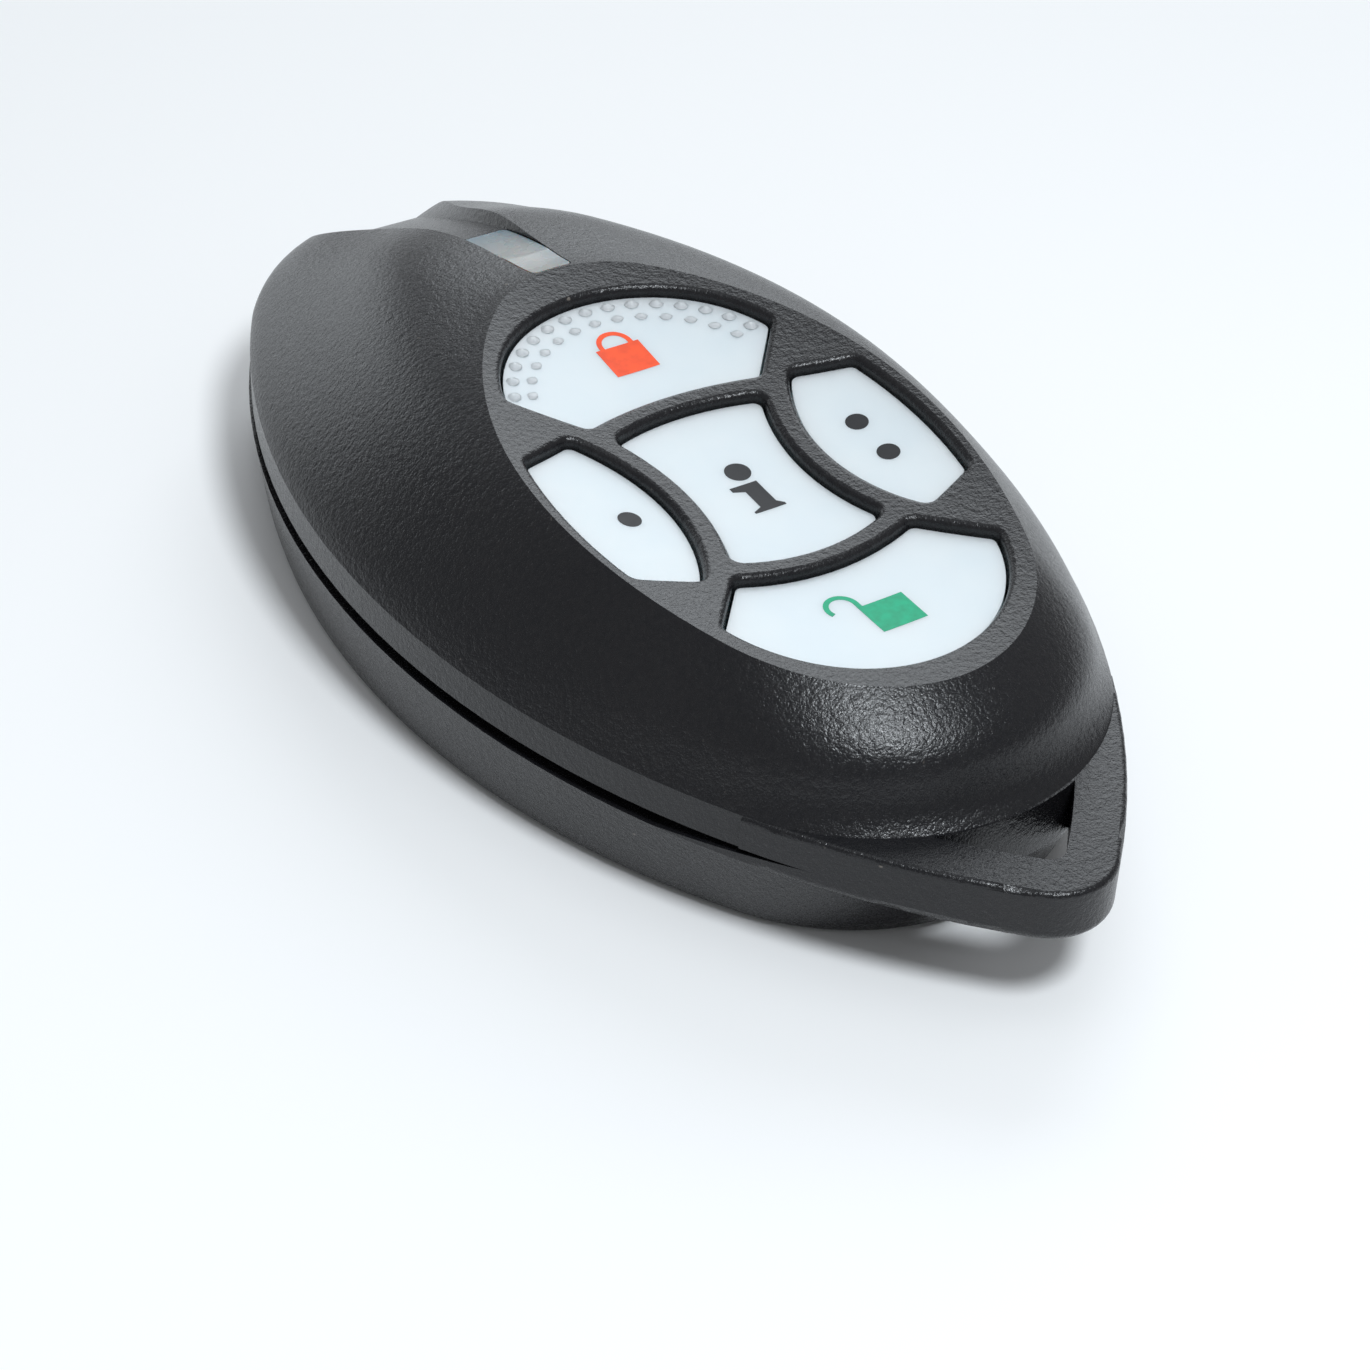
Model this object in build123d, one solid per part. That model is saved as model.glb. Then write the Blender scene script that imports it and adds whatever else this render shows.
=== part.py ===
from build123d import *
from math import atan2, degrees, sqrt
import os

# Alarm key fob: two moulded half shells closed by one screw, five keys in a dished keypad,
# a light guide at one end and a keyring loop at the other. Millimetres.
# The origin is under the middle of the fob, on the face it lies on. +Y points to the light guide.

# Plan of the body
overall_length = 71.43
body_width = 36.5
far_reach = 33.0
near_reach = 32.25
far_tip_radius = 12.65
near_tip_radius = 13.35
loop_tip_radius = 3.5
loop_band = 2.6
loop_root_from_nose = 6.6

# Heights above the rest face
loop_underside_height = 4.8
groove_floor_height = 5.14
seam_height = 5.89
rim_height = 7.85
keypad_height = 13.7

# Outer form
belly_side_inset = 0.8
belly_near_inset = 2.1
belly_far_inset = 0.8
belly_near_tip_drop = 1.15
belly_far_tip_drop = 0.75
belly_softness = 1.2
dome_rise = 8.6
loop_top_softness = 0.3
loop_bottom_softness = 0.6
groove_depth = 0.9
groove_end_from_nose = 3.55
groove_taper_length = 7.5

# Keypad dish: a surface hollow both ways, tilted up towards the light guide
keypad_setback = 8.6
keypad_tilt = 4.5
dish_radius_across = 56.8
dish_radius_along = 172.4
dish_half_width = 26.0
dish_sweep_angle = 24.0
dish_headroom = 9.0

# Walls
panel_thickness = 1.4
top_wall = 1.8
room_foot_height = 7.4
room_top_half = 11.4
room_top_near = 24.4
room_top_far = 16.6
room_top_near_tip = 8.7
room_top_far_tip = 7.4
bottom_wall = 2.0
ledge_wall = 3.6
floor_thickness = 1.3

# Keys
key_travel = 0.6
key_recess = 0.56
key_gap = 0.16
mouth_softness = 0.35
key_corner_radius = 0.5
end_key_outer_half = 8.3
end_key_outer_y = 10.36
end_key_inner_half = 5.43
end_key_inner_y = 7.07
end_key_outer_apex = 16.6
end_key_inner_apex = 7.98
side_key_outer_x = 10.3
side_key_outer_half = 5.14
side_key_inner_x = 7.09
side_key_inner_half = 6.3
side_key_outer_apex = 10.8
side_key_inner_apex = 5.12
info_key_half_width = 4.55
info_key_half_length = 5.51
info_key_waist_half = 3.37
info_key_end_apex = 6.36
flange_reach = 0.5
flange_thickness = 1.75
flange_gap = 0.1
flange_wall_gap = 0.25
stem_radius = 1.3
end_key_stem_y = 11.4
side_key_stem_x = 7.9

# Light guide and its channel
guide_near = 19.5
guide_far = 27.5
guide_near_half = 1.2
guide_far_half = 1.6
guide_corner_radius = 0.35
guide_gap = 0.08
guide_flange_reach = 0.5
guide_flange_drop = 2.4
guide_led_gap = 0.3
channel_stations = (18.6, 23.2, 27.3, 33.0, 37.5, 43.5)
channel_half_widths = (1.2, 1.4, 1.65, 2.0, 2.6, 4.0)
channel_floor_heights = (2.75, 1.8, 0.62, -1.68, -3.9, -7.6)
channel_headroom = 6.0
channel_wall_leans = (0.8, 0.9, 2.0, 5.0, 9.0, 14.0)

# Circuit board and what it carries
board_thickness = 0.8
board_gap = 0.3
board_near_end = 15.2
foil_thickness = 0.05
pad_radius = 2.0
pad_split = 0.5
pill_radius = 1.5
pill_thickness = 0.5
pill_gap = 0.05
mat_thickness = 0.4
mat_inset = 0.9
mat_near_end = 14.9
mat_far_end = 18.0
skirt_radius = 2.4
skirt_wall = 0.6
skirt_gap = 0.2
antenna_inset = 1.4
antenna_width = 0.8
antenna_start = 24.0
led_size = (1.6, 0.8, 0.6)
radio_chip_size = (4.0, 4.0, 0.9)
crystal_size = (3.2, 2.5, 0.7)
microcontroller_size = (5.0, 5.0, 0.9)
chip_size = (1.6, 0.8, 0.45)
chip_pitch = 1.6
chip_count = 4
radio_chip_place = (-6.5, 22.5)
crystal_place = (6.5, 22.5)
microcontroller_place = (0, 26.5)
resistor_place = (-6.5, 28.0)
capacitor_place = (6.5, 28.0)

# Coin cell of the 20 mm, 3.2 mm thick size, and its contacts
cell_radius = 10.0
cell_thickness = 3.2
cell_step = 0.6
cell_step_radius = 8.6
cell_lift = 0.25
clip_thickness = 0.2
clip_width = 4.0
clip_gap = 0.2
clip_foot = 1.2
contact_radius = 3.5
cell_contact_gap = 0.05
rib_width = 0.8
rib_length = 3.0
rib_height = 1.8
rib_gap = 0.25
rib_count = 4
rib_start_angle = 45.0

# Case screw and its boss
screw_from_nose = 4.5
screw_head_radius = 1.6
screw_head_height = 1.2
screw_shank_radius = 0.85
screw_length = 7.6
screw_gap = 0.1
screw_recess = 0.8
screw_slot_width = 0.5
boss_radius = 2.2
pillar_radius = 3.0

# Snap hook at the light guide's end
hook_width = 4.0
hook_inset = 2.1
hook_thickness = 1.0
hook_depth = 2.3
hook_barb = 0.8
hook_barb_height = 0.8
hook_gap = 0.2
hook_root = 1.0

# Overrun of every cut, and how near an edge must lie to be picked
overrun = 1.0
pick = 0.02

# Level curves of the dome, from its rim to above the dish: height, width, near and far reach,
# the tip radii as shares of the half width, and how far its widest place lies from the keypad's middle
dome_level_shares = (
    (0.0, 0.997, 0.996, 0.992, 0.728, 0.69, 1.0),
    (0.215, 0.932, 0.951, 0.959, 0.74, 0.63, 0.97),
    (0.448, 0.841, 0.890, 0.845, 0.735, 0.638, 0.885),
    (0.680, 0.743, 0.7715, 0.736, 0.76, 0.65, 0.80),
    (0.855, 0.628, 0.649, 0.644, 0.79, 0.64, 0.54),
    (1.0, 0.539, 0.531, 0.487, 0.76, 0.60, 0.33),
)

# The belly's softened bottom edge, from the rest face up: height and inset as shares of its softness
belly_edge_shares = ((0.0, 0.5), (0.12, 0.25), (0.4, 0.07), (1.0, 0.0))

# Worked out from the sizes above
half_width = body_width / 2
widest_y = overall_length / 2 - far_reach
nose_y = widest_y - near_reach
loop_reach = overall_length - far_reach
keypad_y = widest_y - keypad_setback
flange_underside = keypad_height - panel_thickness - flange_thickness
board_top = seam_height
board_bottom = board_top - board_thickness
board_inset = bottom_wall + board_gap
pill_bottom = board_top + foil_thickness + key_travel + pill_gap
pill_top = pill_bottom + pill_thickness
cell_bottom = floor_thickness + cell_lift
dome_top = rim_height + 2 * dome_rise
screw_y = nose_y + screw_from_nose
screw_tip_height = screw_recess + screw_head_height + screw_length


def side_radius(width, reach, tip):
    tip_centre = reach - tip
    return (width**2 + tip_centre**2 - tip**2) / (2 * (width - tip))


def pointed_end(width, reach, tip, turn):
    """The two side arcs and the tip arc of one end, as seen with that end upwards."""
    radius = side_radius(width, reach, tip)
    offset = radius - width
    swing = degrees(atan2(reach - tip, offset))
    right = CenterArc((-offset, 0), radius, 0, swing)
    point = CenterArc((0, reach - tip), tip, swing, 180 - 2 * swing)
    left = CenterArc((offset, 0), radius, 180 - swing, swing)
    return [Rot(0, 0, turn) * arc for arc in (right, point, left)]


def almond(width, near, far, near_tip, far_tip):
    """A plan outline pointed at both ends, with its widest place on the X axis."""
    return make_face(Curve() + pointed_end(width, far, far_tip, 0) + pointed_end(width, near, near_tip, 180))


def body_plan(inset=0.0):
    return almond(
        half_width - inset, near_reach - inset, far_reach - inset,
        near_tip_radius - inset, far_tip_radius - inset,
    )


def loop_plan(inset=0.0):
    return almond(
        half_width - inset, loop_reach - inset, far_reach - inset,
        loop_tip_radius - inset, far_tip_radius - inset,
    )


def prism(plan, bottom, top):
    """A plan about the widest place of the body, raised between two heights."""
    return extrude(Pos(0, widest_y, bottom) * plan, top - bottom)


def keypad_prism(plan, bottom, top):
    """A plan about the middle of the keypad, raised between two heights."""
    return extrude(Pos(0, keypad_y, bottom) * plan, top - bottom)


def dome():
    """The domed upper form of the body before the keypad is dished into it."""
    levels = []
    for height, width, near, far, near_tip, far_tip, setback in dome_level_shares:
        level_half = half_width * width
        plan = almond(
            level_half, near_reach * near, far_reach * far, level_half * near_tip, level_half * far_tip
        )
        level_y = keypad_y + keypad_setback * setback
        levels.append(Pos(0, level_y, rim_height + dome_rise * height) * plan)
    return loft(levels)


def dish_cutter(depth=0.0):
    """All that lies above the dished keypad surface, or above one a given depth under it."""
    across = dish_radius_across + depth
    edge = across - sqrt(across**2 - dish_half_width**2) - depth
    roof = edge + dish_headroom
    surface = ThreePointArc((-dish_half_width, edge), (0, -depth), (dish_half_width, edge))
    lid = Polyline(
        (dish_half_width, edge), (dish_half_width, roof), (-dish_half_width, roof), (-dish_half_width, edge)
    )
    profile = Plane.XZ * make_face(Curve() + [surface, lid])
    hinge = Axis((0, 0, dish_radius_along), (1, 0, 0))
    turned = Rot(-dish_sweep_angle, 0, 0) * Pos(0, 0, -dish_radius_along) * profile
    start = Pos(0, 0, dish_radius_along) * turned
    bowl = revolve(start, hinge, 2 * dish_sweep_angle)
    return Pos(0, keypad_y, keypad_height) * Rot(keypad_tilt, 0, 0) * bowl


def ceiling_cutter(depth):
    """All that lies above a flat ceiling, tilted as the keypad is, at a given depth under its middle."""
    size = 2 * overall_length
    block = Pos(0, 0, size / 2 - depth) * Box(size, size, size)
    return Pos(0, keypad_y, keypad_height) * Rot(keypad_tilt, 0, 0) * block


def cavity(gap=0.0):
    """The room under the dome: an upright wall, then a leaning one, up to the panel's underside."""
    inset = top_wall + gap
    foot = prism(body_plan(inset), seam_height - overrun, room_foot_height)
    roof = almond(
        room_top_half - gap, room_top_near - gap, room_top_far - gap,
        room_top_near_tip - gap, room_top_far_tip - gap,
    )
    levels = [
        Pos(0, widest_y, room_foot_height) * body_plan(inset), Pos(0, widest_y, keypad_height) * roof,
    ]
    return foot + loft(levels, ruled=True) - ceiling_cutter(panel_thickness + gap)


def arc_outline(corners, apexes):
    """A four-cornered plan whose sides are arcs through the given apexes, or straight where it is None."""
    sides = []
    for index, apex in enumerate(apexes):
        start = corners[index]
        end = corners[(index + 1) % len(corners)]
        sides.append(Line(start, end) if apex is None else ThreePointArc(start, apex, end))
    plan = make_face(Curve() + sides)
    return fillet(plan.vertices(), key_corner_radius)


def end_key_plan(side):
    corners = (
        (-end_key_outer_half, side * end_key_outer_y), (end_key_outer_half, side * end_key_outer_y),
        (end_key_inner_half, side * end_key_inner_y), (-end_key_inner_half, side * end_key_inner_y),
    )
    return arc_outline(corners, ((0, side * end_key_outer_apex), None, (0, side * end_key_inner_apex), None))


def side_key_plan(side):
    corners = (
        (side * side_key_outer_x, -side_key_outer_half), (side * side_key_outer_x, side_key_outer_half),
        (side * side_key_inner_x, side_key_inner_half), (side * side_key_inner_x, -side_key_inner_half),
    )
    apexes = ((side * side_key_outer_apex, 0), None, (side * side_key_inner_apex, 0), None)
    return arc_outline(corners, apexes)


def info_key_plan():
    right, top = info_key_half_width, info_key_half_length
    corners = ((-right, top), (right, top), (right, -top), (-right, -top))
    apexes = (
        (0, info_key_end_apex), (info_key_waist_half, 0), (0, -info_key_end_apex), (-info_key_waist_half, 0),
    )
    return arc_outline(corners, apexes)


key_plans = {
    "info": (info_key_plan(), (0, 0)),
    "lock": (end_key_plan(1), (0, end_key_stem_y)),
    "unlock": (end_key_plan(-1), (0, -end_key_stem_y)),
    "one_dot": (side_key_plan(-1), (-side_key_stem_x, 0)),
    "two_dot": (side_key_plan(1), (side_key_stem_x, 0)),
}


def guide_plan(gap=0.0):
    near, far = guide_near_half + gap, guide_far_half + gap
    outline = Polyline(
        (-near, guide_near - gap), (near, guide_near - gap), (far, guide_far + gap), (-far, guide_far + gap),
        close=True,
    )
    plan = make_face(outline)
    return fillet(plan.vertices(), guide_corner_radius + gap)


def channel_cutter():
    """The shallow channel that runs from the light guide and opens into a scoop at the tip."""
    sections = []
    for station, half, floor, lean in zip(
        channel_stations, channel_half_widths, channel_floor_heights, channel_wall_leans
    ):
        lip = half + lean
        top = floor + channel_headroom
        section = make_face(Polyline((-half, floor), (half, floor), (lip, top), (-lip, top), close=True))
        upright = Plane(origin=(0, keypad_y + station, keypad_height), x_dir=(1, 0, 0), z_dir=(0, -1, 0))
        sections.append(upright * section)
    return loft(sections)


def body_form():
    """The closed outer form of the top half: rim, dome, dish and channel, without its openings."""
    upper = dome()
    foot = upper.faces().sort_by(Axis.Z)[0]
    wall = extrude(foot, foot.center().Z - seam_height, dir=(0, 0, -1))
    return upper + wall - dish_cutter() - channel_cutter()


def loop_end(bottom, top):
    """The pointed end that carries the keyring loop, as far back as its crisp top face runs."""
    root = nose_y + loop_root_from_nose
    middle = Pos(0, root - overall_length / 2, (bottom + top) / 2)
    return prism(loop_plan(), bottom, top) & (middle * Box(body_width, overall_length, top - bottom))


def keyring_hole():
    through = prism(loop_plan(loop_band), -overrun, rim_height + overrun)
    return through - prism(body_plan(), -overrun, rim_height + overrun)


def level_edges(solid, height):
    flat = solid.edges().filter_by(lambda item: item.bounding_box().size.Z < pick)
    return flat.filter_by(lambda item: abs(item.center().Z - height) < pick)


def outer_edges(solid, height):
    """Level edges of the loop's own outline, not those of its cut root."""
    root = nose_y + loop_root_from_nose
    return level_edges(solid, height).filter_by(lambda item: item.center().Y < root - pick)


def rod(radius, bottom, top):
    """A cylinder about the Z axis between two heights."""
    return Pos(0, 0, bottom) * Cylinder(radius, top - bottom, align=(Align.CENTER, Align.CENTER, Align.MIN))


def screw_hole(radius, bottom, top):
    return Pos(0, screw_y, 0) * rod(radius, bottom, top)


def hook_block(half, near_inset, far_inset, bottom, top):
    """A block at the light guide's end, placed by how far it lies inside the outline."""
    far_y = widest_y + far_reach
    size = far_inset - near_inset
    middle = far_y - (near_inset + far_inset) / 2
    return Pos(0, middle, (bottom + top) / 2) * Box(2 * half, size, top - bottom)


def mouth_edges(form, dish, opening):
    """Where an opening of the given plan breaks through the dished surface."""
    edges = ShapeList()
    for edge in form.edges():
        spot = edge.position_at(1 / 2)
        if dish.distance_to(spot) < pick and opening.distance_to(Vector(spot.X, spot.Y, 0)) < pick:
            edges.append(edge)
    return edges


def pierced_form():
    """The outer form with the keys' openings, each with a rounded mouth."""
    form = body_form()
    dish = dish_cutter()
    for plan, _ in key_plans.values():
        opening = offset(plan, key_gap)
        form -= keypad_prism(opening, flange_underside - overrun, dome_top)
        form = fillet(mouth_edges(form, dish, Pos(0, keypad_y, 0) * opening), mouth_softness)
    return form


def top_shell():
    loop = loop_end(seam_height, rim_height)
    loop = fillet(outer_edges(loop, rim_height), loop_top_softness)
    skin = pierced_form() + loop
    skin -= keyring_hole()
    hollow = cavity()
    hollow -= screw_hole(boss_radius, seam_height - overrun, dome_top)
    shell = skin - hollow
    shell -= keypad_prism(guide_plan(guide_gap), rim_height, dome_top)
    shell -= screw_hole(screw_shank_radius + screw_gap, seam_height - overrun, screw_tip_height + screw_gap)
    hook_low = seam_height - hook_depth
    half = hook_width / 2
    shell += hook_block(half, hook_root, hook_inset + hook_thickness, seam_height, rim_height)
    shell += hook_block(half, hook_inset, hook_inset + hook_thickness, hook_low, seam_height)
    shell += hook_block(half, hook_inset - hook_barb, hook_inset, hook_low, hook_low + hook_barb_height)
    return shell


def groove_cutter():
    """The dark groove round the sides, which narrows to nothing before the loop."""
    outside = prism(body_plan(-overrun), groove_floor_height, seam_height)
    ring = outside - prism(body_plan(groove_depth), 0, rim_height)
    end = nose_y + groove_end_from_nose
    far = widest_y + far_reach + 2 * overrun
    side = Polyline(
        (far, groove_floor_height), (end + groove_taper_length, groove_floor_height),
        (end, seam_height), (far, seam_height),
        close=True,
    )
    return ring & extrude(Plane.YZ * make_face(side), body_width, both=True)


def belly():
    """The underside: a drafted wall that turns into the rest face with a softened edge."""
    levels = []
    for share, drop in belly_edge_shares:
        height = belly_softness * share
        lean = 1 - height / groove_floor_height
        inset = belly_softness * drop
        plan = almond(
            half_width - belly_side_inset * lean - inset,
            near_reach - belly_near_inset * lean - inset,
            far_reach - belly_far_inset * lean - inset,
            near_tip_radius - belly_near_tip_drop * lean - inset,
            far_tip_radius - belly_far_tip_drop * lean - inset,
        )
        levels.append(Pos(0, widest_y, height) * plan)
    levels.append(Pos(0, widest_y, groove_floor_height) * body_plan())
    return loft(levels, ruled=True)


def bottom_shell():
    loop = loop_end(loop_underside_height, seam_height)
    loop = fillet(outer_edges(loop, loop_underside_height), loop_bottom_softness)
    shell = belly() + prism(body_plan(), groove_floor_height, seam_height) + loop
    shell -= keyring_hole()
    shell -= groove_cutter()
    ledge = board_bottom
    hollow = prism(body_plan(ledge_wall), floor_thickness, ledge)
    hollow += prism(body_plan(bottom_wall), ledge, rim_height)
    hollow -= screw_hole(pillar_radius, 0, ledge)
    hollow -= screw_hole(boss_radius + hook_gap, 0, seam_height)
    shell -= hollow
    hook_low = seam_height - hook_depth - hook_gap
    slot = hook_width / 2 + hook_gap
    shell -= hook_block(slot, hook_inset - hook_gap, ledge_wall + hook_gap, hook_low, rim_height)
    catch_top = hook_low + hook_barb_height + 2 * hook_gap
    shell -= hook_block(slot, hook_inset - hook_barb - hook_gap, hook_inset, hook_low, catch_top)
    shell -= screw_hole(screw_shank_radius + screw_gap, -overrun, rim_height)
    shell -= screw_hole(screw_head_radius + screw_gap, -overrun, screw_recess + screw_head_height)
    rib_place = cell_radius + rib_gap + rib_width / 2
    for place in PolarLocations(rib_place, rib_count, rib_start_angle):
        rib = Box(rib_width, rib_length, rib_height, align=(Align.CENTER, Align.CENTER, Align.MIN))
        shell += Pos(0, widest_y, floor_thickness) * place * rib
    return shell


def key(name):
    plan, stem = key_plans[name]
    cap = keypad_prism(plan, flange_underside, dome_top) - dish_cutter(key_recess)
    flange = keypad_prism(offset(plan, key_gap + flange_reach), flange_underside, dome_top)
    flange &= cavity(flange_wall_gap)
    flange -= screw_hole(boss_radius + flange_wall_gap, flange_underside, dome_top)
    post = Pos(stem[0], keypad_y + stem[1], 0) * rod(stem_radius, pill_top, flange_underside)
    return cap + flange + post


def contact_pill(name):
    stem = key_plans[name][1]
    return Pos(stem[0], keypad_y + stem[1], 0) * rod(pill_radius, pill_bottom, pill_top)


def light_guide(form):
    stem_bottom = board_top + led_size[2] + guide_led_gap
    stem = keypad_prism(guide_plan(), stem_bottom, dome_top) & form
    flange_low = keypad_height - guide_flange_drop
    flange = keypad_prism(offset(guide_plan(), guide_flange_reach), flange_low, dome_top)
    flange &= cavity(flange_gap)
    return stem + flange


def board_area(inset, near, far):
    """The plan inside the walls between two places along the fob, counted from the keypad's middle."""
    strip = Pos(0, keypad_y - widest_y + (near + far) / 2) * Rectangle(body_width, far - near)
    return body_plan(inset) & strip


def circuit_board():
    board = prism(board_area(board_inset, -board_near_end, overall_length), board_bottom, board_top)
    notch = hook_inset + hook_thickness + hook_gap
    half = hook_width / 2 + hook_gap
    return board - hook_block(half, -overrun, notch, board_bottom - overrun, board_top + overrun)


def contact_pads():
    pads = []
    for _, stem in key_plans.values():
        disc = rod(pad_radius, board_top, board_top + foil_thickness)
        split = Pos(0, 0, board_top) * Box(pad_split, body_width, board_thickness)
        pads += (Pos(stem[0], keypad_y + stem[1], 0) * (disc - split)).solids()
    return Compound(pads)


def keypad_mat():
    """The silicone mat: a sheet on the board with a hollow skirt round each key's stem."""
    sheet_top = board_top + mat_thickness
    mat = prism(board_area(board_inset + mat_inset, -mat_near_end, mat_far_end), board_top, sheet_top)
    skirt_top = flange_underside - key_travel - skirt_gap
    skirt = rod(skirt_radius + skirt_wall, board_top, skirt_top) - rod(skirt_radius, board_top, skirt_top)
    for _, stem in key_plans.values():
        place = Pos(stem[0], keypad_y + stem[1], 0)
        mat -= place * rod(skirt_radius, board_bottom, sheet_top + overrun)
        mat += place * skirt
    return mat


def coin_cell():
    cell_top = cell_bottom + cell_thickness
    case = rod(cell_radius, cell_bottom, cell_top - cell_step)
    return Pos(0, widest_y, 0) * (case + rod(cell_step_radius, cell_top - cell_step, cell_top))


def battery_clip():
    """A spring strap under the cell with two legs soldered to the board."""
    reach = cell_radius + clip_gap
    low = cell_bottom - clip_thickness
    foot_low = board_bottom - clip_thickness
    outline = Polyline(
        (-reach - clip_thickness, low), (reach + clip_thickness, low),
        (reach + clip_thickness, foot_low), (reach + clip_foot, foot_low),
        (reach + clip_foot, board_bottom), (reach, board_bottom), (reach, cell_bottom),
        (-reach, cell_bottom), (-reach, board_bottom), (-reach - clip_foot, board_bottom),
        (-reach - clip_foot, foot_low), (-reach - clip_thickness, foot_low),
        close=True,
    )
    return Pos(0, widest_y, 0) * extrude(Plane.XZ * make_face(outline), clip_width / 2, both=True)


def battery_contact():
    low = cell_bottom + cell_thickness + cell_contact_gap
    return Pos(0, widest_y, 0) * rod(contact_radius, low, board_bottom)


def on_board(size, place):
    block = Box(*size, align=(Align.CENTER, Align.CENTER, Align.MIN))
    return Pos(place[0], keypad_y + place[1], board_top) * block


def chip_row(place):
    """A row of small chip parts along the fob."""
    size = (chip_size[1], chip_size[0], chip_size[2])
    row = []
    for index in range(chip_count):
        shift = (index - (chip_count - 1) / 2) * chip_pitch
        row.append(on_board(size, (place[0] + shift, place[1])))
    return Compound([chip.solid() for chip in row])


def antenna():
    """The printed loop that follows the board's end."""
    inset = board_inset + antenna_inset
    outer = board_area(inset, antenna_start, overall_length)
    inner = body_plan(inset + antenna_width)
    return prism(outer, board_top, board_top + foil_thickness) - prism(inner, board_bottom, rim_height)


def case_screw():
    neck = screw_recess + screw_head_height / 2
    head = screw_hole(screw_head_radius, screw_recess, screw_recess + screw_head_height)
    slot = Pos(0, screw_y, screw_recess) * Box(2 * screw_head_radius, screw_slot_width, screw_head_height)
    return head - slot + screw_hole(screw_shank_radius, neck, screw_tip_height)


def microcontroller():
    size = microcontroller_size
    place = Pos(microcontroller_place[0], keypad_y + microcontroller_place[1], board_bottom)
    return place * Box(*size, align=(Align.CENTER, Align.CENTER, Align.MAX))


def build_nodes():
    nodes = {
        "top_shell": top_shell(),
        "bottom_shell": bottom_shell(),
        "light_guide": light_guide(body_form()),
        "keypad_mat": keypad_mat(),
        "circuit_board": circuit_board(),
        "contact_pads": contact_pads(),
        "coin_cell": coin_cell(),
        "battery_clip": battery_clip(),
        "battery_contact": battery_contact(),
        "microcontroller": microcontroller(),
        "radio_chip": on_board(radio_chip_size, radio_chip_place),
        "crystal": on_board(crystal_size, crystal_place),
        "status_led": on_board(led_size, (0, (guide_near + guide_far) / 2)),
        "antenna": antenna(),
        "chip_resistors": chip_row(resistor_place),
        "chip_capacitors": chip_row(capacitor_place),
        "case_screw": case_screw(),
    }
    for name in key_plans:
        nodes[name + "_key"] = key(name)
        nodes[name + "_contact_pill"] = contact_pill(name)
    return nodes


os.makedirs("parts", exist_ok=True)
for node_name, solid in build_nodes().items():
    export_step(solid, "parts/" + node_name + ".step")
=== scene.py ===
import math

import bmesh
import bpy
from mathutils import Matrix, Quaternion, Vector
from mathutils.bvhtree import BVHTree


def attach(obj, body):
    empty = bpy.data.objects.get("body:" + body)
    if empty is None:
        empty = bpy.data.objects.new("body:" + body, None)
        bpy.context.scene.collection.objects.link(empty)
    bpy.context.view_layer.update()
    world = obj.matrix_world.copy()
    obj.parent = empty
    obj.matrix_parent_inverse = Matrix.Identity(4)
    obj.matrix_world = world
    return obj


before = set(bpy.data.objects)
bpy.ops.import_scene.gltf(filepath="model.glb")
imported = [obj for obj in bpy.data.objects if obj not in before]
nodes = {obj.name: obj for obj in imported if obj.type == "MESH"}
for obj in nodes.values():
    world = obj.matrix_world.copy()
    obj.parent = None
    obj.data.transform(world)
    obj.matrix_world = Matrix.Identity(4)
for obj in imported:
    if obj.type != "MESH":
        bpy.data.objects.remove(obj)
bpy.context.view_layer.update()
scene = bpy.context.scene
mm = 0.001  # the fob's sizes are written in millimetres
print("frame loaded:", len(nodes), "nodes")

# Camera at the photograph's angle

cameraSettings = {
    "place": (-85.237, -122.312, 109.590),  # millimetres
    "target": (-5.958, -9.777, 5.003),
    "roll": 3.304,  # degrees
    "lens": 87.52,
    "sensor": 36,
    "clipStart": 0.005,  # metres
}


def placeCamera():
    s = cameraSettings
    cam = bpy.data.cameras.new("camera")
    cam.lens = s["lens"]
    cam.sensor_width = s["sensor"]
    cam.clip_start = s["clipStart"]
    obj = bpy.data.objects.new("camera", cam)
    scene.collection.objects.link(obj)
    place = Vector(s["place"]) * mm
    aim = Vector(s["target"]) * mm - place
    obj.location = place
    obj.rotation_mode = "QUATERNION"
    obj.rotation_quaternion = aim.to_track_quat("-Z", "Y") @ Quaternion((0, 0, 1), math.radians(s["roll"]))
    scene.camera = obj


placeCamera()
print("camera placed")

# Floor and soft studio light, in metres and watts

floorSettings = {
    "size": 1.6,
    "color": (0.94, 0.94, 0.94, 1),
    "roughness": 0.9,
}


def buildFloor():
    s = floorSettings
    bm = bmesh.new()
    bmesh.ops.create_grid(bm, x_segments=2, y_segments=2, size=s["size"])
    mesh = bpy.data.meshes.new("floor")
    bm.to_mesh(mesh)
    bm.free()
    floor = bpy.data.objects.new("floor", mesh)
    scene.collection.objects.link(floor)
    mat = bpy.data.materials.new("floorPaper")
    mat.use_nodes = True
    shader = mat.node_tree.nodes["Principled BSDF"]
    shader.inputs["Base Color"].default_value = s["color"]
    shader.inputs["Roughness"].default_value = s["roughness"]
    mesh.materials.append(mat)


lightSettings = {
    "viewTransform": "Standard",
    "worldColor": (0.95, 0.975, 1.0, 1),
    "worldStrength": 0.30,
    "lampColor": (0.90, 0.955, 1.0),
    "lamps": [  # name, place, aim, size, power
        ("topSoftbox", (0.0, 0.0, 0.60), (0, 0, 0), 0.50, 0.30),
        ("noseLight", (-0.010, -0.168, 0.300), (0.0, -0.02, 0.01), 0.085, 0.76),
        ("farFill", (0.36, 0.42, 0.33), (0, 0.01, 0.01), 0.50, 1.55),
        ("farLeftFill", (-0.06, 0.56, 0.08), (0, 0.01, 0.01), 0.36, 0.45),
    ],
}


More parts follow.
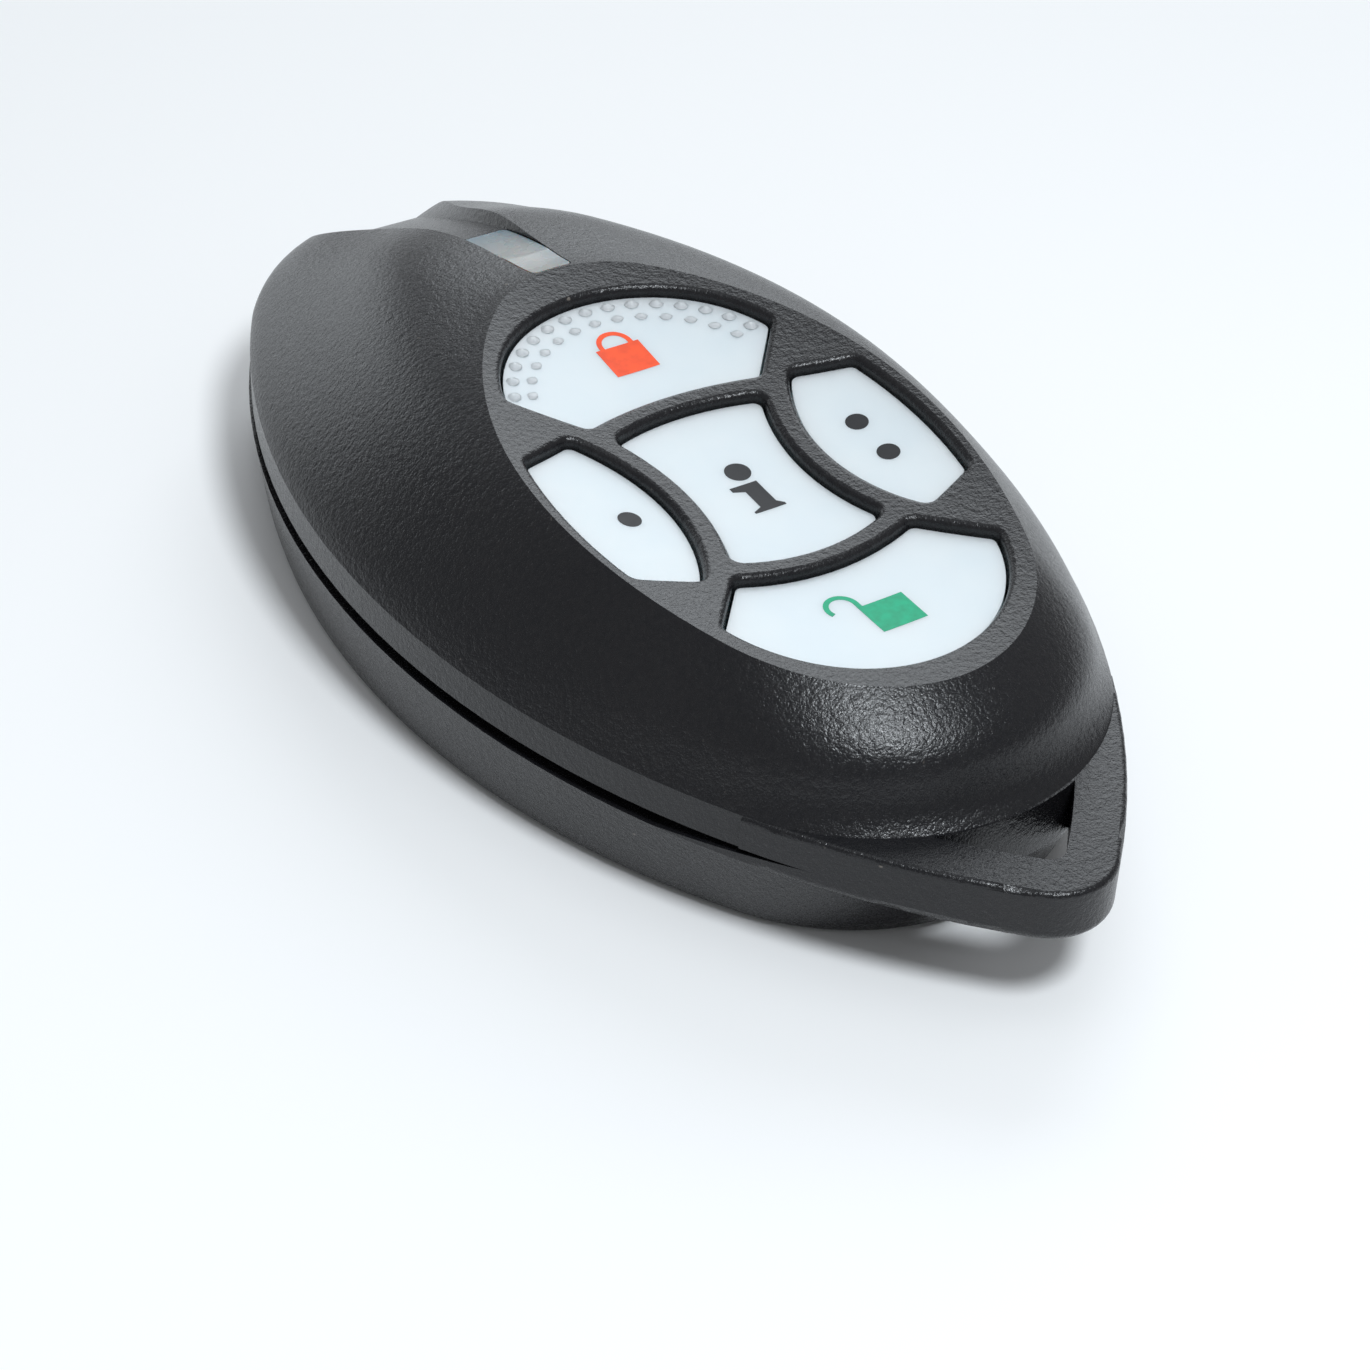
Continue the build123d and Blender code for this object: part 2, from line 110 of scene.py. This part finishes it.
def buildLights():
    s = lightSettings
    scene.view_settings.view_transform = s["viewTransform"]
    world = bpy.data.worlds.new("studio")
    world.use_nodes = True
    back = world.node_tree.nodes["Background"]
    back.inputs["Color"].default_value = s["worldColor"]
    back.inputs["Strength"].default_value = s["worldStrength"]
    scene.world = world
    for name, place, aim, size, power in s["lamps"]:
        lamp = bpy.data.lights.new(name, "AREA")
        lamp.shape = "DISK"
        lamp.size = size
        lamp.energy = power
        lamp.color = s["lampColor"]
        obj = bpy.data.objects.new(name, lamp)
        obj.location = place
        obj.rotation_euler = (Vector(aim) - Vector(place)).to_track_quat("-Z", "Y").to_euler()
        scene.collection.objects.link(obj)


buildFloor()
buildLights()
print("floor and lights built")

# Shader helpers

noiseSpan = (0.3, 0.7)  # nearly all of a noise texture's values lie in here


# a principled material with its node tree, ready for texture nodes
def newMaterial(name, color, roughness):
    mat = bpy.data.materials.new(name)
    mat.use_nodes = True
    shader = mat.node_tree.nodes["Principled BSDF"]
    shader.inputs["Base Color"].default_value = (*color, 1)
    shader.inputs["Roughness"].default_value = roughness
    return mat, mat.node_tree, shader


def objectCoords(tree, scale=(1, 1, 1)):
    coords = tree.nodes.new("ShaderNodeTexCoord")
    mapping = tree.nodes.new("ShaderNodeMapping")
    mapping.inputs["Scale"].default_value = scale
    tree.links.new(coords.outputs["Object"], mapping.inputs["Vector"])
    return mapping.outputs["Vector"]


# scale is in cells a metre
def noise(tree, vector, scale, detail, rough):
    node = tree.nodes.new("ShaderNodeTexNoise")
    node.inputs["Scale"].default_value = scale
    node.inputs["Detail"].default_value = detail
    node.inputs["Roughness"].default_value = rough
    tree.links.new(vector, node.inputs["Vector"])
    return node.outputs["Fac"]


# a colour ramp between two colours, at two places on it
def ramp(tree, fac, places, lowColor, highColor):
    node = tree.nodes.new("ShaderNodeValToRGB")
    for element, place, color in zip(node.color_ramp.elements, places, (lowColor, highColor)):
        element.position = place
        element.color = (*color, 1)
    tree.links.new(fac, node.inputs["Fac"])
    return node.outputs["Color"]


def mapRange(tree, fac, low, high, toLow, toHigh):
    node = tree.nodes.new("ShaderNodeMapRange")
    for name, value in (("From Min", low), ("From Max", high), ("To Min", toLow), ("To Max", toHigh)):
        node.inputs[name].default_value = value
    tree.links.new(fac, node.inputs["Value"])
    return node.outputs["Result"]


def mathNode(tree, operation, a, b):
    node = tree.nodes.new("ShaderNodeMath")
    node.operation = operation
    for socket, value in zip(node.inputs, (a, b)):
        if isinstance(value, (int, float)):
            socket.default_value = value
        else:
            tree.links.new(value, socket)
    return node.outputs["Value"]


def addBump(tree, shader, height, strength, distance):
    node = tree.nodes.new("ShaderNodeBump")
    node.inputs["Strength"].default_value = strength
    node.inputs["Distance"].default_value = distance
    tree.links.new(height, node.inputs["Height"])
    tree.links.new(node.outputs["Normal"], shader.inputs["Normal"])


def joinTo(tree, output, shader, inputName):
    tree.links.new(output, shader.inputs[inputName])


# Case plastic: dark, with a spark-eroded grain and a little dust

caseSettings = {
    "darkColor": (0.0060, 0.0062, 0.0080),
    "lightColor": (0.0122, 0.0116, 0.0128),
    "toneStops": (0.36, 0.64),
    "dustColor": (0.13, 0.115, 0.10),
    "dustStops": (0.80, 0.83),
    "specular": 0.44,
    "plainRoughness": 0.45,
    "roughness": (0.20, 0.34),
    "grain": (3000, 3.0, 0.6),  # scale, detail and roughness of each noise
    "fineGrain": (8000, 2.0, 0.55),
    "broadTone": (60, 2.0, 0.5),
    "dust": (1500, 1.0, 0.4),
    "fineShare": 0.45,
    "broadShare": 0.5,
    "grainStrength": 0.62,
    "grainDepth": 0.00009,
}


def casePlastic():
    s = caseSettings
    mat, tree, shader = newMaterial("casePlastic", s["darkColor"], s["plainRoughness"])
    shader.inputs["Specular IOR Level"].default_value = s["specular"]
    vector = objectCoords(tree)
    grain = noise(tree, vector, *s["grain"])
    fine = noise(tree, vector, *s["fineGrain"])
    height = mathNode(tree, "ADD", grain, mathNode(tree, "MULTIPLY", fine, s["fineShare"]))
    addBump(tree, shader, height, s["grainStrength"], s["grainDepth"])
    broad = noise(tree, vector, *s["broadTone"])
    broadPart = mathNode(tree, "MULTIPLY", broad, s["broadShare"])
    grainPart = mathNode(tree, "MULTIPLY", grain, 1 - s["broadShare"])
    tone = mathNode(tree, "ADD", broadPart, grainPart)
    color = ramp(tree, tone, s["toneStops"], s["darkColor"], s["lightColor"])
    speck = ramp(tree, noise(tree, vector, *s["dust"]), s["dustStops"], (0, 0, 0), (1, 1, 1))
    mix = tree.nodes.new("ShaderNodeMix")
    mix.data_type = "RGBA"
    tree.links.new(speck, mix.inputs["Factor"])
    tree.links.new(color, mix.inputs["A"])
    mix.inputs["B"].default_value = (*s["dustColor"], 1)
    joinTo(tree, mix.outputs["Result"], shader, "Base Color")
    joinTo(tree, mapRange(tree, fine, *noiseSpan, *s["roughness"]), shader, "Roughness")
    return mat


# Key plastic: milky, so that light sinks into it

keySettings = {
    "color": (0.69, 0.745, 0.765),
    "cloudColor": (0.65, 0.715, 0.745),
    "cloud": (170, 2.0, 0.5),
    "cloudStops": (0.35, 0.62),
    "plainRoughness": 0.34,
    "roughness": (0.30, 0.40),
    "subsurface": 0.55,
    "subsurfaceRadius": (0.9, 1.0, 1.0),
    "subsurfaceReach": 0.0016,
    "skin": (2400, 2.0, 0.5),
    "skinStrength": 0.05,
    "skinDepth": 0.00004,
}


def keyPlastic():
    s = keySettings
    mat, tree, shader = newMaterial("keyPlastic", s["color"], s["plainRoughness"])
    vector = objectCoords(tree)
    cloud = noise(tree, vector, *s["cloud"])
    joinTo(tree, ramp(tree, cloud, s["cloudStops"], s["cloudColor"], s["color"]), shader, "Base Color")
    joinTo(tree, mapRange(tree, cloud, *noiseSpan, *s["roughness"]), shader, "Roughness")
    shader.inputs["Subsurface Weight"].default_value = s["subsurface"]
    shader.inputs["Subsurface Radius"].default_value = s["subsurfaceRadius"]
    shader.inputs["Subsurface Scale"].default_value = s["subsurfaceReach"]
    addBump(tree, shader, noise(tree, vector, *s["skin"]), s["skinStrength"], s["skinDepth"])
    return mat


# Light guide plastic: bluish and clear, deeper in colour towards its far right corner

guideSettings = {
    "color": (0.34, 0.343, 0.33),
    "deepColor": (0.15, 0.21, 0.245),
    "colorStops": (0.05, 0.95),
    "alongSpan": (0.0145, 0.0215),  # where along and across the fob the colour deepens, in metres
    "acrossSpan": (-0.0005, 0.0015),
    "acrossMost": 0.75,
    "alongPower": 2.2,
    "acrossPower": 1.5,
    "plainRoughness": 0.28,
    "roughness": (0.22, 0.34),
    "skin": (900, 2.0, 0.5),
    "subsurface": 0.4,
    "subsurfaceReach": 0.001,
}


def guidePlastic():
    s = guideSettings
    mat, tree, shader = newMaterial("guidePlastic", s["color"], s["plainRoughness"])
    vector = objectCoords(tree)
    split = tree.nodes.new("ShaderNodeSeparateXYZ")
    tree.links.new(vector, split.inputs["Vector"])
    along = mapRange(tree, split.outputs["Y"], *s["alongSpan"], 0.0, 1.0)
    across = mapRange(tree, split.outputs["X"], *s["acrossSpan"], 0.0, s["acrossMost"])
    alongBlend = mathNode(tree, "POWER", along, s["alongPower"])
    acrossBlend = mathNode(tree, "POWER", across, s["acrossPower"])
    blend = mathNode(tree, "MAXIMUM", alongBlend, acrossBlend)
    joinTo(tree, ramp(tree, blend, s["colorStops"], s["color"], s["deepColor"]), shader, "Base Color")
    skin = noise(tree, vector, *s["skin"])
    joinTo(tree, mapRange(tree, skin, *noiseSpan, *s["roughness"]), shader, "Roughness")
    shader.inputs["Subsurface Weight"].default_value = s["subsurface"]
    shader.inputs["Subsurface Scale"].default_value = s["subsurfaceReach"]
    return mat


# Printed ink: nearly even, with the slight mottling of a pad print

inkFinish = {
    "mottle": (1500, 2.0, 0.5),
    "mottleStops": (0.35, 0.65),
    "deepGain": 0.9,
    "paleGain": 1.14,
    "paleLift": 0.004,
    "plainRoughness": 0.4,
    "roughness": (0.34, 0.46),
    "specular": 0.2,
}


def printedInk(name, color):
    s = inkFinish
    mat, tree, shader = newMaterial(name, color, s["plainRoughness"])
    shader.inputs["Specular IOR Level"].default_value = s["specular"]
    mottle = noise(tree, objectCoords(tree), *s["mottle"])
    pale = tuple(min(1.0, c * s["paleGain"] + s["paleLift"]) for c in color)
    deep = tuple(c * s["deepGain"] for c in color)
    joinTo(tree, ramp(tree, mottle, s["mottleStops"], deep, pale), shader, "Base Color")
    joinTo(tree, mapRange(tree, mottle, *noiseSpan, *s["roughness"]), shader, "Roughness")
    return mat


# Finish of the inner pieces: an even colour broken by fine noise, with a matching bump

plainFinish = {
    "detail": 3.0,
    "rough": 0.55,
    "variation": 0.18,
    "roughnessSpread": 0.06,
    "bump": 0.1,
    "bumpDepth": 0.00003,
}


def innerFinish(name, color, roughness, metallic=0.0, scale=700):
    s = plainFinish
    mat, tree, shader = newMaterial(name, color, roughness)
    shader.inputs["Metallic"].default_value = metallic
    grain = noise(tree, objectCoords(tree), scale, s["detail"], s["rough"])
    low = tuple(c * (1 - s["variation"]) for c in color)
    high = tuple(min(1.0, c * (1 + s["variation"])) for c in color)
    joinTo(tree, ramp(tree, grain, noiseSpan, low, high), shader, "Base Color")
    spread = s["roughnessSpread"]
    rough = mapRange(tree, grain, *noiseSpan, roughness - spread, roughness + spread)
    joinTo(tree, rough, shader, "Roughness")
    addBump(tree, shader, grain, s["bump"], s["bumpDepth"])
    return mat


# Drawn metal with fine lines along one direction

brushedFinish = {
    "lineScale": (6000, 300, 300),
    "lines": (1.0, 3.0, 0.6),
    "deepGain": 0.86,
    "smoother": 0.08,
    "rougher": 0.1,
    "bump": 0.12,
    "bumpDepth": 0.00002,
}


def brushedMetal(name, color, roughness):
    s = brushedFinish
    mat, tree, shader = newMaterial(name, color, roughness)
    shader.inputs["Metallic"].default_value = 1.0
    lines = noise(tree, objectCoords(tree, s["lineScale"]), *s["lines"])
    rough = mapRange(tree, lines, *noiseSpan, roughness - s["smoother"], roughness + s["rougher"])
    joinTo(tree, rough, shader, "Roughness")
    low = tuple(c * s["deepGain"] for c in color)
    joinTo(tree, ramp(tree, lines, noiseSpan, low, color), shader, "Base Color")
    addBump(tree, shader, lines, s["bump"], s["bumpDepth"])
    return mat


# Which finish each node has

materialOf = {
    "case": casePlastic(),
    "key": keyPlastic(),
    "guide": guidePlastic(),
    "silicone": innerFinish("greySilicone", (0.42, 0.42, 0.40), 0.6),
    "carbon": innerFinish("carbonRubber", (0.02, 0.02, 0.02), 0.7),
    "board": innerFinish("boardResist", (0.012, 0.11, 0.045), 0.35, scale=400),
    "foil": innerFinish("goldFoil", (0.72, 0.50, 0.22), 0.3, metallic=1.0),
    "cell": brushedMetal("cellSteel", (0.62, 0.62, 0.63), 0.32),
    "spring": brushedMetal("springSteel", (0.56, 0.56, 0.57), 0.25),
    "chip": innerFinish("chipBlack", (0.018, 0.018, 0.02), 0.5),
    "led": innerFinish("ledClear", (0.75, 0.75, 0.62), 0.2),
    "ceramic": innerFinish("chipCeramic", (0.36, 0.25, 0.15), 0.5),
    "screw": brushedMetal("zincScrew", (0.48, 0.48, 0.50), 0.35),
    "redInk": printedInk("redInk", (0.95, 0.085, 0.018)),
    "greenInk": printedInk("greenInk", (0.008, 0.36, 0.185)),
    "blackInk": printedInk("blackInk", (0.016, 0.016, 0.018)),
}

finishOf = {
    "top_shell": "case", "bottom_shell": "case", "light_guide": "guide", "keypad_mat": "silicone",
    "circuit_board": "board", "contact_pads": "foil", "antenna": "foil", "coin_cell": "cell",
    "battery_clip": "spring", "battery_contact": "spring", "microcontroller": "chip", "radio_chip": "chip",
    "crystal": "cell", "status_led": "led", "chip_resistors": "chip", "chip_capacitors": "ceramic",
    "case_screw": "screw",
}
for keyName in ("lock", "info", "unlock", "one_dot", "two_dot"):
    finishOf[keyName + "_key"] = "key"
    finishOf[keyName + "_contact_pill"] = "carbon"
for nodeName, finish in finishOf.items():
    mesh = nodes[nodeName].data
    mesh.materials.clear()
    mesh.materials.append(materialOf[finish])
print("materials built:", len(materialOf))

# Places on the keypad


# the middle of the keypad is the middle of the information key
def findKeypadMiddle():
    places = [v.co for v in nodes["info_key"].data.vertices]
    return [(min(p[axis] for p in places) + max(p[axis] for p in places)) / 2 / mm for axis in (0, 1)]


keypadMiddle = findKeypadMiddle()
castHeight = 30.0  # well above the keys


# makes a function that gives the height of a key's top at a place
def dropper(nodeName):
    mesh = nodes[nodeName].data
    mesh.calc_loop_triangles()
    points = [v.co.copy() for v in mesh.vertices]
    tree = BVHTree.FromPolygons(points, [tuple(t.vertices) for t in mesh.loop_triangles])

    def height(x, y):
        hit = tree.ray_cast(Vector((x, y, castHeight)) * mm, Vector((0, 0, -1)))[0]
        return hit.z / mm

    return height


# turns a bmesh in millimetres into a piece that moves with a body
def finishPiece(bm, name, material, body, smooth):
    bmesh.ops.scale(bm, vec=(mm, mm, mm), verts=bm.verts[:])
    mesh = bpy.data.meshes.new(name)
    bm.to_mesh(mesh)
    bm.free()
    mesh.materials.append(material)
    for polygon in mesh.polygons:
        polygon.use_smooth = smooth
    obj = bpy.data.objects.new(name, mesh)
    scene.collection.objects.link(obj)
    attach(obj, body)


# Signs printed on the keys, drawn from the keypad's middle

printSettings = {
    "thickness": 0.02,
    "lift": 0.012,
    "gridStep": 0.45,
}


# cuts a flat sign finely, lays it on the key's dished top and gives it the thickness of ink
def printSign(bm, name, keyName, ink):
    s = printSettings
    for axis, normal in enumerate(((1, 0, 0), (0, 1, 0))):
        low = min(v.co[axis] for v in bm.verts)
        high = max(v.co[axis] for v in bm.verts)
        for i in range(1, int((high - low) / s["gridStep"]) + 1):
            place = Vector(normal) * (low + i * s["gridStep"])
            everything = bm.verts[:] + bm.edges[:] + bm.faces[:]
            bmesh.ops.bisect_plane(bm, geom=everything, plane_co=place, plane_no=normal)
    bmesh.ops.triangulate(bm, faces=bm.faces[:])
    height = dropper(keyName + "_key")
    for v in bm.verts:
        x = keypadMiddle[0] + v.co.x
        y = keypadMiddle[1] + v.co.y
        v.co = (x, y, height(x, y) - s["thickness"] + s["lift"])
    top = bmesh.ops.extrude_face_region(bm, geom=bm.faces[:])
    raised = [item for item in top["geom"] if isinstance(item, bmesh.types.BMVert)]
    bmesh.ops.translate(bm, verts=raised, vec=(0, 0, s["thickness"]))
    bmesh.ops.recalc_face_normals(bm, faces=bm.faces[:])
    finishPiece(bm, name, materialOf[ink], keyName + "_button", smooth=False)


# the shut padlock's shackle stands on the body with both legs
lockSettings = {
    "centre": (0.12, 11.85),
    "width": 2.69,
    "height": 2.29,
    "hinge": (0.0, 1.295),  # from the body's middle
    "shackleRadius": 1.05,
    "shackleBand": 0.30,
    "sweep": 180,
    "sweepSteps": 16,
    "legs": 2,
    "legLength": 0.16,
}

# the open shackle swings out to the left, with one leg in the body's upper left corner
unlockSettings = {
    "centre": (0.56, -12.20),
    "width": 2.69,
    "height": 2.29,
    "hinge": (-2.025, 1.495),
    "shackleRadius": 0.98,
    "shackleBand": 0.30,
    "sweep": 205,
    "sweepSteps": 18,
    "legs": 1,
    "legLength": 0.70,
}


# sweeps a band round its hinge from the right, then draws straight legs down from its ends
def shackle(bm, s):
    hinge = Vector((s["centre"][0] + s["hinge"][0], s["centre"][1] + s["hinge"][1], 0))
    radii = (s["shackleRadius"] - s["shackleBand"], s["shackleRadius"])
    ends = [bm.verts.new(hinge + Vector((radius, 0, 0))) for radius in radii]
    first = bm.edges.new(ends)
    swept = bmesh.ops.spin(
        bm, geom=[*ends, first], cent=hinge, axis=(0, 0, 1),
        angle=math.radians(s["sweep"]), steps=s["sweepSteps"],
    )
    last = [item for item in swept["geom_last"] if isinstance(item, bmesh.types.BMEdge)]
    for edges in ([first], last)[:s["legs"]]:
        leg = bmesh.ops.extrude_edge_only(bm, edges=edges)["geom"]
        foot = [item for item in leg if isinstance(item, bmesh.types.BMVert)]
        bmesh.ops.translate(bm, verts=foot, vec=(0, -s["legLength"], 0))


def padlockSign(s, name, keyName, ink):
    bm = bmesh.new()
    spread = Matrix.Diagonal((s["width"], s["height"], 1, 1))
    place = Matrix.Translation((*s["centre"], 0)) @ spread
    bmesh.ops.create_grid(bm, x_segments=1, y_segments=1, size=0.5, matrix=place)
    shackle(bm, s)
    printSign(bm, name, keyName, ink)


dotSettings = {
    "radius": 0.63,
    "segments": 45,
    "one_dot": [(-7.32, -0.1)],
    "two_dot": [(8.0, 1.45), (8.0, -1.45)],
}


def dotFace(bm, centre, radius):
    bmesh.ops.create_circle(
        bm, cap_ends=True, segments=dotSettings["segments"], radius=radius,
        matrix=Matrix.Translation((*centre, 0)),
    )


def dotSigns():
    for name in ("one_dot", "two_dot"):
        bm = bmesh.new()
        for centre in dotSettings[name]:
            dotFace(bm, centre, dotSettings["radius"])
        printSign(bm, name + "Sign", name, "blackInk")


infoSettings = {
    "dotCentre": (0.24, 1.25),
    "dotRadius": 0.72,
    "stem": [
        (-0.96, 0.22), (0.71, 0.22), (0.71, -1.65), (1.04, -1.98), (1.04, -2.13),
        (-0.86, -2.13), (-0.86, -1.98), (-0.33, -1.75), (-0.33, -0.35), (-0.96, -0.1),
    ],
}


def infoSign():
    bm = bmesh.new()
    dotFace(bm, infoSettings["dotCentre"], infoSettings["dotRadius"])
    bm.faces.new([bm.verts.new((x, y, 0)) for x, y in infoSettings["stem"]])
    printSign(bm, "infoSign", "info", "blackInk")


padlockSign(lockSettings, "lockSign", "lock", "redInk")
padlockSign(unlockSettings, "unlockSign", "unlock", "greenInk")
dotSigns()
infoSign()
print("signs printed")

# Raised pips along the lock key's outer edge

pipSettings = {
    "arcCentre": (0.0, 7.96),
    "rows": [  # radius of the row, count, start angle, pip radius, rise
        (8.19, 15, 22.0, 0.43, 0.17),
        (7.2, 13, 24.0, 0.38, 0.07),
    ],
    "profileShares": (0.0, 0.2, 0.4, 0.6, 0.8, 1.0),
    "segments": 20,
    "rootDepth": 0.1,
    "settle": 0.004,
    "weld": 0.0001,
}


# spins a soft profile, which runs out into the key's top
def raisedPip(bm, x, y, z, size, rise):
    s = pipSettings
    places = [(x + size * share, y, z + rise * (1 - share**2) ** 2) for share in s["profileShares"]]
    places.append((x + size, y, z - s["rootDepth"]))
    profile = [bm.verts.new(place) for place in places]
    lines = [bm.edges.new(pair) for pair in zip(profile, profile[1:])]
    bmesh.ops.spin(
        bm, geom=profile + lines, cent=(x, y, 0), axis=(0, 0, 1), angle=2 * math.pi,
        steps=s["segments"], use_merge=True,
    )


def lockPips():
    s = pipSettings
    height = dropper("lock_key")
    bm = bmesh.new()
    for radius, count, start, size, rise in s["rows"]:
        for i in range(count):
            angle = math.radians(start + (180 - 2 * start) * i / (count - 1))
            x = s["arcCentre"][0] + radius * math.cos(angle) + keypadMiddle[0]
            y = s["arcCentre"][1] + radius * math.sin(angle) + keypadMiddle[1]
            raisedPip(bm, x, y, height(x, y) - s["settle"], size, rise)
    bmesh.ops.remove_doubles(bm, verts=bm.verts[:], dist=s["weld"])
    roots = [edge for edge in bm.edges if edge.is_boundary]
    bmesh.ops.holes_fill(bm, edges=roots, sides=s["segments"])
    bmesh.ops.recalc_face_normals(bm, faces=bm.faces[:])
    finishPiece(bm, "lockPips", materialOf["key"], "lock_button", smooth=True)


lockPips()
print("pips added")
